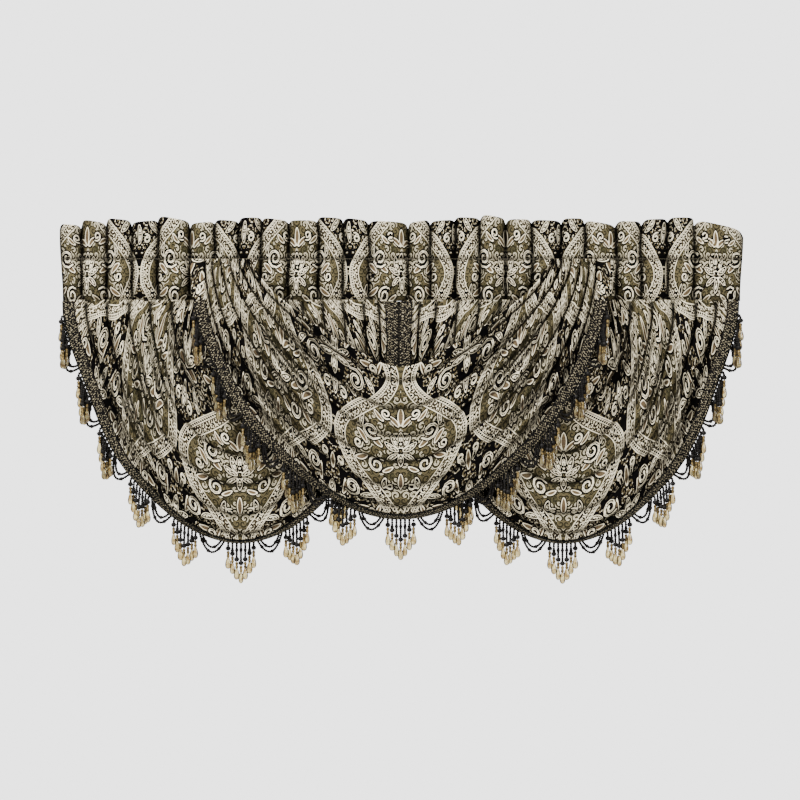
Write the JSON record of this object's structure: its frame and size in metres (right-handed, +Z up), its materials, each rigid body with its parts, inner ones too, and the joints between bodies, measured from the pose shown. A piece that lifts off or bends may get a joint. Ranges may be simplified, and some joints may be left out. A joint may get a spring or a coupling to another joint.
{
  "type": "waterfall valance",
  "caption": "Window valance with a ruffled rod pocket heading, draped swags in a row and a woven braid with beaded fringe along each swag's hem.",
  "frame": {"origin": "on the rod's line inside the rod pocket, at the middle of the valance's width", "axes": "+X along the rod, to the right as seen from the room; -Y towards the room; +Z up"},
  "size_m": [1.6833, 0.1259, 0.905],
  "materials": {
    "valance_cloth": "woven charcoal, olive and ivory pattern",
    "beaded_braid": "dark woven braid with black and champagne beads"
  },
  "bodies": {
    "root": {"heading": "valance_cloth", "pocket_facing": "valance_cloth", "swag_left": "valance_cloth", "swag_right": "valance_cloth", "swag_centre": "valance_cloth", "braid_left_first": "beaded_braid", "braid_left_second": "beaded_braid", "braid_right_first": "beaded_braid", "braid_right_second": "beaded_braid", "braid_centre_first": "beaded_braid", "braid_centre_second": "beaded_braid"}
  },
  "joints": []
}
